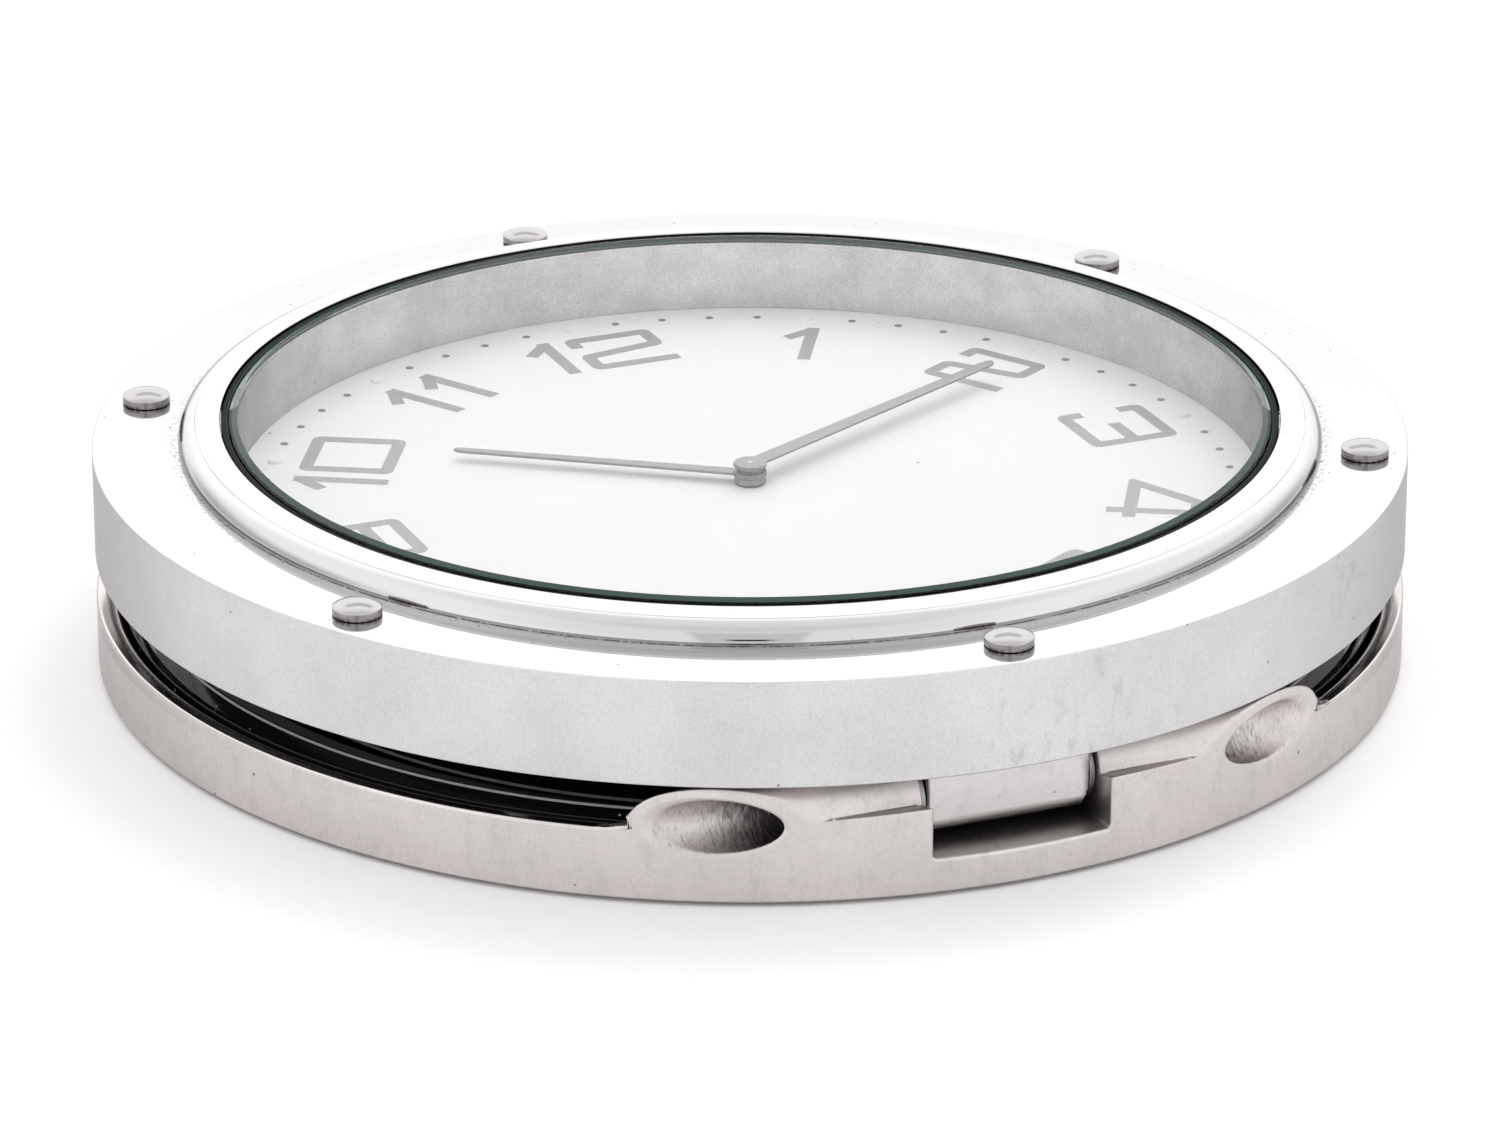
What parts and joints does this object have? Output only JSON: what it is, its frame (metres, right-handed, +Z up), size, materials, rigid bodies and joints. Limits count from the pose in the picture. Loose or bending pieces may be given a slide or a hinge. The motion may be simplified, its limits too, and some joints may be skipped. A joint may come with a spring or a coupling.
{
  "type": "desk clock",
  "caption": "Round steel desk clock with an analogue quartz dial under flat glass, whose heavy case tilts up on a hinge from a low dish base.",
  "frame": {"origin": "on the table under the centre of the base", "axes": "+Z up, +Y towards 12 o'clock, the hinge at 6 o'clock towards -Y with its pin along X"},
  "size_m": [0.09, 0.09, 0.0173],
  "materials": {
    "satin_steel": "satin",
    "base_steel": "satin",
    "polished_steel": "polished",
    "pin_steel": "satin",
    "clear_glass": "polished",
    "black_rubber": "matt",
    "black_plastic": "gloss",
    "rehaut_metal": "satin",
    "dial_white": "matt",
    "hand_metal": "satin",
    "grey_plastic": "matt",
    "brass": "satin",
    "copper_wire": "satin",
    "soft_iron": "satin",
    "magnet_grey": "matt",
    "board_green": "matt",
    "cell_steel": "satin",
    "white_nylon": "matt"
  },
  "bodies": {
    "base": {"base_dish": "base_steel", "base_pad": "black_rubber", "dish_liner": "black_plastic", "liner_screw_1": "pin_steel", "liner_screw_2": "pin_steel", "liner_screw_3": "pin_steel", "rest_cushion_1": "black_rubber", "rest_cushion_2": "black_rubber", "rest_cushion_3": "black_rubber", "hinge_pin": "pin_steel", "hinge_washer_left": "white_nylon", "hinge_washer_right": "white_nylon"},
    "case": {"hinge_tongue": "satin_steel", "case_ring": "satin_steel", "bezel_ring": "polished_steel", "glass": "clear_glass", "glass_gasket": "black_rubber", "rehaut_ring": "rehaut_metal", "bezel_screw_02": "polished_steel", "bezel_screw_04": "polished_steel", "bezel_screw_06": "polished_steel", "bezel_screw_08": "polished_steel", "bezel_screw_10": "polished_steel", "bezel_screw_12": "polished_steel", "rear_cover": "black_plastic", "cover_seal": "black_rubber", "cover_screw_1": "pin_steel", "cover_screw_2": "pin_steel", "cover_screw_3": "pin_steel", "cover_screw_4": "pin_steel", "battery_hatch": "black_plastic", "dial": "dial_white", "movement_holder": "grey_plastic", "main_plate": "grey_plastic", "movement_bridge": "grey_plastic", "movement_screw_1": "pin_steel", "movement_screw_2": "pin_steel", "movement_screw_3": "pin_steel", "minute_wheel_post": "pin_steel", "stator": "soft_iron", "coil": "copper_wire", "coil_core": "soft_iron", "button_cell": "cell_steel", "circuit_board": "board_green", "quartz_can": "cell_steel", "driver_chip": "black_plastic", "contact_cap": "brass", "contact_side": "brass"},
    "minute_group": {"centre_arbor": "pin_steel", "centre_wheel": "brass", "cannon_pinion": "brass", "minute_hand": "hand_metal"},
    "hour_group": {"hour_wheel": "brass", "hour_hand": "hand_metal"},
    "motion_work": {"minute_wheel": "brass"},
    "intermediate": {"intermediate_wheel": "brass"},
    "motor_rotor": {"rotor": "magnet_grey"},
    "setting_group": {"setting_wheel": "brass", "setting_knob": "black_plastic"}
  },
  "joints": [
    {"name": "case_tilt", "type": "hinge", "parent": "base", "child": "case", "pos_m": [0, -0.0402, 0.00548], "axis": [1, 0, 0], "range_deg": [0, 28]},
    {"name": "minute_turn", "type": "hinge", "parent": "case", "child": "minute_group", "pos_m": [0, 0, 0.0108], "axis": [0, 0, -1], "continuous": true},
    {"name": "hour_turn", "type": "hinge", "parent": "case", "child": "hour_group", "pos_m": [0, 0, 0.0108], "axis": [0, 0, -1], "continuous": true},
    {"name": "motion_work_turn", "type": "hinge", "parent": "case", "child": "motion_work", "pos_m": [0.00433, -0.0025, 0.009], "axis": [0, 0, -1], "continuous": true},
    {"name": "intermediate_turn", "type": "hinge", "parent": "case", "child": "intermediate", "pos_m": [-0.0027, 0.00468, 0.007], "axis": [0, 0, -1], "continuous": true},
    {"name": "rotor_turn", "type": "hinge", "parent": "case", "child": "motor_rotor", "pos_m": [-0.00738, 0.00706, 0.007], "axis": [0, 0, -1], "continuous": true},
    {"name": "setting_turn", "type": "hinge", "parent": "case", "child": "setting_group", "pos_m": [0.00746, -0.00791, 0.006], "axis": [0, 0, -1], "continuous": true}
  ],
  "couplings": [
    {"joint": "hour_turn", "follows": "minute_turn", "ratio": 0.083333},
    {"joint": "motion_work_turn", "follows": "minute_turn", "ratio": -0.33333},
    {"joint": "intermediate_turn", "follows": "minute_turn", "ratio": -5},
    {"joint": "rotor_turn", "follows": "minute_turn", "ratio": 30},
    {"joint": "setting_turn", "follows": "minute_turn", "ratio": 0.5}
  ]
}
